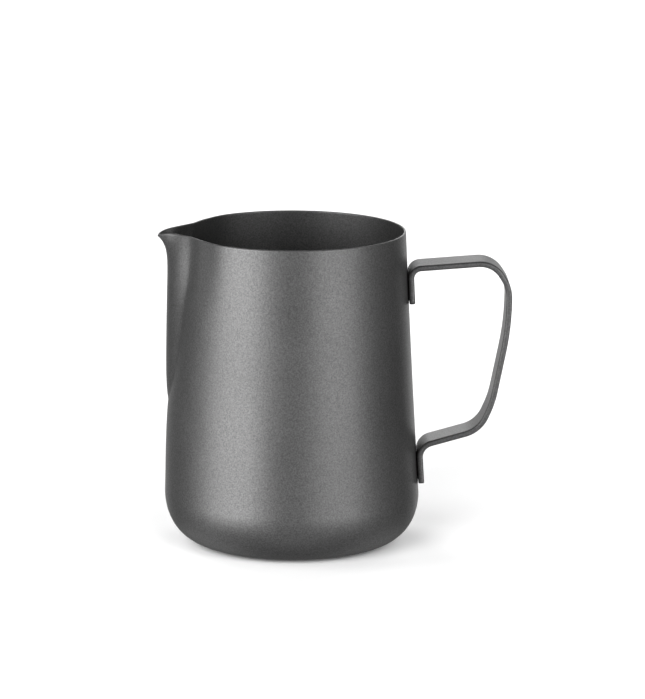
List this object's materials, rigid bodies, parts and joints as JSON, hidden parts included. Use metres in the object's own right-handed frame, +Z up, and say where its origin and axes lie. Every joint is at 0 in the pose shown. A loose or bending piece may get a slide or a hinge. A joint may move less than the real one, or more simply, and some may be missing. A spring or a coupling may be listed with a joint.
{
  "type": "milk frothing pitcher",
  "caption": "Drawn steel milk frothing pitcher with a tapered wall, rounded base, pressed pouring spout and a bent strap handle, in a dark satin metallic coating.",
  "frame": {"origin": "on the body's axis, in the plane of the flat base that the pitcher stands on", "axes": "+Z up along the body's axis, +X from the axis towards the handle, -X towards the pouring spout"},
  "size_m": [0.1251, 0.09, 0.1122],
  "materials": {
    "coated_steel": "dark charcoal metallic coating, satin, with a fine sparkle grain",
    "weld_steel": "bare fused steel of a spot weld, dull"
  },
  "bodies": {
    "root": {"body_shell": "coated_steel", "strap_handle": "coated_steel", "spot_weld_upper_left": "weld_steel", "spot_weld_upper_right": "weld_steel", "spot_weld_lower_left": "weld_steel", "spot_weld_lower_right": "weld_steel"}
  },
  "joints": []
}
